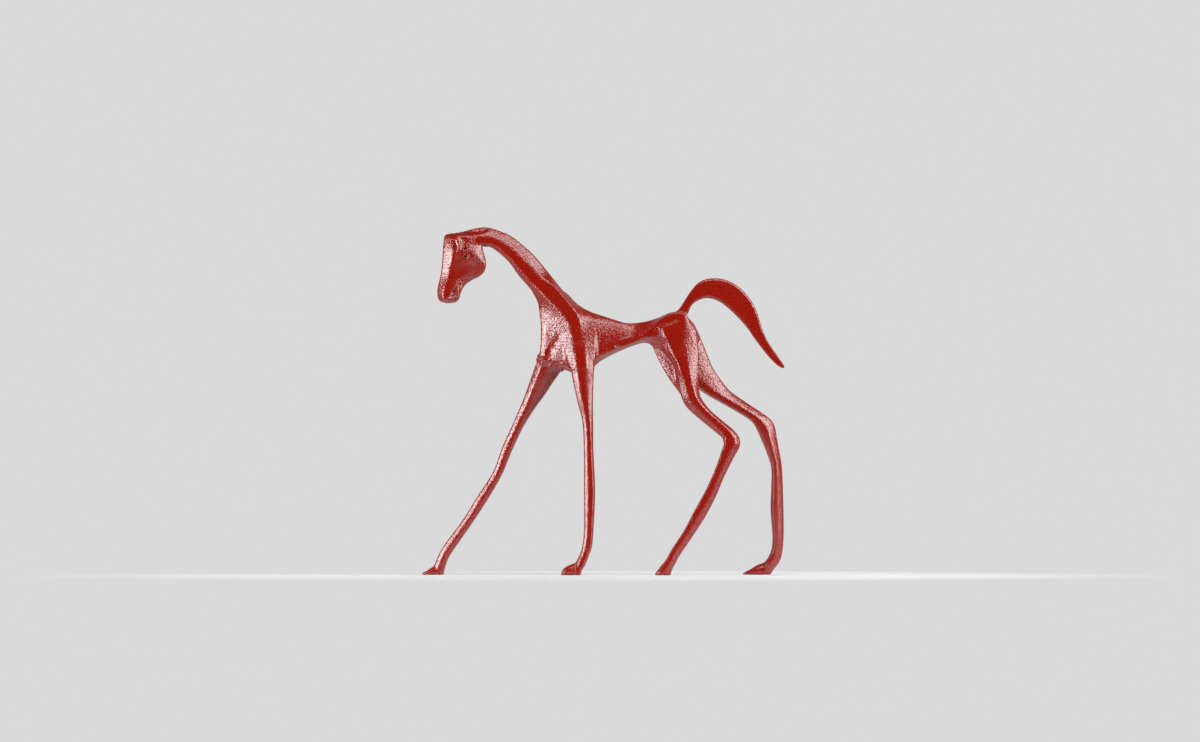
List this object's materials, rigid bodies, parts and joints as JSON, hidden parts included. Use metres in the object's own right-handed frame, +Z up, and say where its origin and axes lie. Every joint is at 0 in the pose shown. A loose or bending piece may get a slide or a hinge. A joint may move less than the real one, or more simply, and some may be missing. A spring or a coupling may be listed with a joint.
{
  "type": "horse ornament",
  "caption": "Slender standing horse ornament in red-painted cast metal, with an arched tail, thin striding legs and a long bowed neck.",
  "frame": {"origin": "middle of the footprint on the floor the horse stands on", "axes": "+Z up; the head points along -X; the near side of the picture is -Y and the far side +Y"},
  "size_m": [0.3655, 0.0674, 0.3469],
  "materials": {
    "red_paint": "semi-gloss enamel over a pitted casting",
    "weld_paint": "semi-gloss enamel over ground weld metal",
    "steel": "plain turned"
  },
  "bodies": {
    "root": {"body": "red_paint", "head": "red_paint", "tail": "red_paint", "near_fore_leg": "red_paint", "far_fore_leg": "red_paint", "near_hind_leg": "red_paint", "far_hind_leg": "red_paint", "head_weld": "weld_paint", "tail_weld": "weld_paint", "near_fore_weld": "weld_paint", "far_fore_weld": "weld_paint", "near_hind_weld": "weld_paint", "far_hind_weld": "weld_paint", "head_dowel": "steel", "tail_dowel": "steel", "near_fore_dowel": "steel", "far_fore_dowel": "steel", "near_hind_dowel": "steel", "far_hind_dowel": "steel"}
  },
  "joints": []
}
